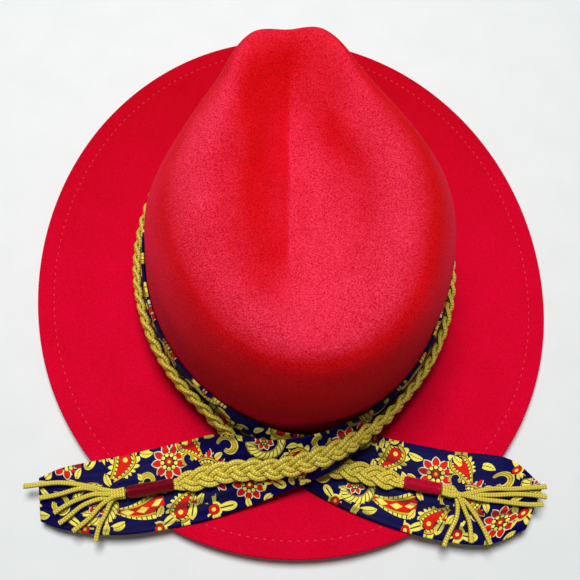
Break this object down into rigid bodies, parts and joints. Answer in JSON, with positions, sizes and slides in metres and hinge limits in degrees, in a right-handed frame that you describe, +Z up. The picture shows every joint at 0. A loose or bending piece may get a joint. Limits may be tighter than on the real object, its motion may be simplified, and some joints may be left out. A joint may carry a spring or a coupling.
{
  "type": "fedora",
  "caption": "Wool felt fedora with a teardrop crown and a nearly flat brim, a folded scarf crossed behind it, and a plaited cord whose ends are bound into tassels.",
  "frame": {"origin": "on the plane that the brim rests on, under the middle of the brim", "axes": "+Z up out of the crown, +Y to the front of the hat, +X to the wearer's right"},
  "size_m": [0.292, 0.3254, 0.108],
  "materials": {
    "felt": "soft red wool felt with a short nap",
    "scarf_cloth": "navy satin cloth with a gold, cream and red paisley print",
    "gold_cord": "shiny plaited gold rayon cord",
    "binding_thread": "wine red satin thread, tightly wound"
  },
  "bodies": {
    "root": {"felt_body": "felt", "scarf": "scarf_cloth", "braid": "gold_cord", "binding_left": "binding_thread", "binding_right": "binding_thread", "tassel_left": "gold_cord", "tassel_right": "gold_cord"}
  },
  "joints": []
}
